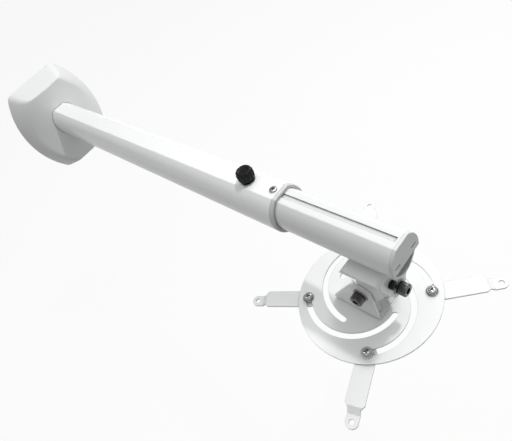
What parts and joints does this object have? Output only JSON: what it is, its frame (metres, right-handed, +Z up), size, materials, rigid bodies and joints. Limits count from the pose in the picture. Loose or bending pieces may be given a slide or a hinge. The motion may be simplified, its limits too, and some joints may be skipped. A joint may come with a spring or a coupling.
{
  "type": "projector wall mount",
  "caption": "Short-throw projector wall mount: sliding arm of flat-topped tube with bulging sides, rolling and pitching head, slotted round plate with swinging support arms.",
  "frame": {"origin": "on the wall, at the middle of the wall plate's rear face, in line with the middle of the arm", "axes": "+Z up, +Y into the wall, so the arm reaches towards -Y; +X to the right for someone facing the wall"},
  "size_m": [0.2355, 0.6946, 0.1939],
  "materials": {
    "white_paint": "satin white powder coat",
    "white_plastic": "fine moulded texture",
    "grey_plastic": "plain moulded",
    "black_plastic": "moulded, fluted",
    "zinc_steel": "zinc plated",
    "bright_steel": "bright plated"
  },
  "bodies": {
    "wall_arm": {"wall_plate": "white_paint", "wall_cover": "white_plastic", "outer_tube": "white_paint", "tube_collar": "white_plastic", "collar_screw": "bright_steel", "knob_insert": "zinc_steel"},
    "knob": {"lock_knob": "black_plastic", "lock_stud": "zinc_steel"},
    "inner_arm": {"inner_tube": "white_paint", "end_cap": "white_plastic", "rear_bush": "grey_plastic", "arm_bracket": "white_paint", "bracket_welds": "white_paint", "roll_lock_screw": "zinc_steel", "roll_bolt": "zinc_steel", "roll_washers": "zinc_steel", "roll_nut": "zinc_steel"},
    "swivel": {"swivel_bracket": "white_paint", "pitch_bolt": "zinc_steel", "pitch_washers": "zinc_steel", "pitch_nut": "zinc_steel"},
    "plate": {"tilt_bracket": "white_paint", "tilt_rivets": "white_paint", "mount_disc": "white_paint"},
    "rider_rear_right": {"slot_screw_rear_right": "bright_steel", "slot_washer_rear_right": "bright_steel", "slot_nut_rear_right": "zinc_steel"},
    "arm_rear_right": {"support_arm_rear_right": "white_paint"},
    "rider_rear_left": {"slot_screw_rear_left": "bright_steel", "slot_washer_rear_left": "bright_steel", "slot_nut_rear_left": "zinc_steel"},
    "arm_rear_left": {"support_arm_rear_left": "white_paint"},
    "rider_front_left": {"slot_screw_front_left": "bright_steel", "slot_washer_front_left": "bright_steel", "slot_nut_front_left": "zinc_steel"},
    "arm_front_left": {"support_arm_front_left": "white_paint"},
    "rider_front_right": {"slot_screw_front_right": "bright_steel", "slot_washer_front_right": "bright_steel", "slot_nut_front_right": "zinc_steel"},
    "arm_front_right": {"support_arm_front_right": "white_paint"}
  },
  "joints": [
    {"name": "arm_slide", "type": "slide", "parent": "wall_arm", "child": "inner_arm", "axis": [0, -1, 0], "range_m": [-0.055, 0.15]},
    {"name": "lock_knob_turn", "type": "hinge", "parent": "wall_arm", "child": "knob", "pos_m": [0, -0.48, 0.03], "axis": [0, 0, 1], "range_deg": [0, 720]},
    {"name": "head_roll", "type": "hinge", "parent": "inner_arm", "child": "swivel", "pos_m": [0, -0.612, -0.054], "axis": [0, 1, 0], "range_deg": [-15, 15]},
    {"name": "head_pitch", "type": "hinge", "parent": "swivel", "child": "plate", "pos_m": [0, -0.6, -0.067], "axis": [1, 0, 0], "range_deg": [-15, 15]},
    {"name": "slot_travel_rear_right", "type": "hinge", "parent": "plate", "child": "rider_rear_right", "pos_m": [0.01399, -0.58197, -0.109], "axis": [0, 0, 1], "range_deg": [0, 60]},
    {"name": "arm_swing_rear_right", "type": "hinge", "parent": "rider_rear_right", "child": "arm_rear_right", "pos_m": [0.05414, -0.55217, -0.1112], "axis": [0, 0, 1], "range_deg": [-40, 40]},
    {"name": "slot_travel_rear_left", "type": "hinge", "parent": "plate", "child": "rider_rear_left", "pos_m": [-0.00403, -0.57201, -0.109], "axis": [0, 0, 1], "range_deg": [0, 60]},
    {"name": "arm_swing_rear_left", "type": "hinge", "parent": "rider_rear_left", "child": "arm_rear_left", "pos_m": [-0.03383, -0.53186, -0.1112], "axis": [0, 0, 1], "range_deg": [-37, 43]},
    {"name": "slot_travel_front_left", "type": "hinge", "parent": "plate", "child": "rider_front_left", "pos_m": [-0.01399, -0.59003, -0.109], "axis": [0, 0, 1], "range_deg": [0, 60]},
    {"name": "arm_swing_front_left", "type": "hinge", "parent": "rider_front_left", "child": "arm_front_left", "pos_m": [-0.05414, -0.61983, -0.1112], "axis": [0, 0, 1], "range_deg": [-27, 53]},
    {"name": "slot_travel_front_right", "type": "hinge", "parent": "plate", "child": "rider_front_right", "pos_m": [0.00403, -0.59999, -0.109], "axis": [0, 0, 1], "range_deg": [0, 60]},
    {"name": "arm_swing_front_right", "type": "hinge", "parent": "rider_front_right", "child": "arm_front_right", "pos_m": [0.03383, -0.64014, -0.1112], "axis": [0, 0, 1], "range_deg": [-49, 31]}
  ]
}
